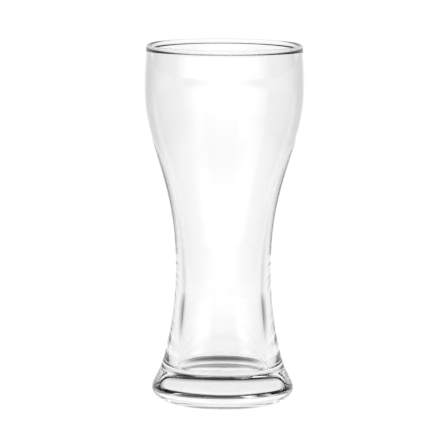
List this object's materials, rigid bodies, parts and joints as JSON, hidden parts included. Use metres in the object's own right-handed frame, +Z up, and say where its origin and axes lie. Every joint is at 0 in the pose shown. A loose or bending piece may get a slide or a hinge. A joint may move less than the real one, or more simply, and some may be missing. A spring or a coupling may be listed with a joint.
{
  "type": "pilsner glass",
  "caption": "Clear footed beer glass with a heavy flared foot, a drawn-in waist, a wide bowl and a rounded rim.",
  "frame": {"origin": "on the table, under the middle of the foot", "axes": "+Z up along the axis of the glass, from foot to rim; X and Y lie in the table"},
  "size_m": [0.0802, 0.0802, 0.18],
  "materials": {
    "foot_glass": "clear pressed glass, polished",
    "wall_glass": "clear blown glass, smooth",
    "rim_glass": "clear glass, fire polished"
  },
  "bodies": {
    "root": {"foot": "foot_glass", "wall": "wall_glass", "rim_bead": "rim_glass"}
  },
  "joints": []
}
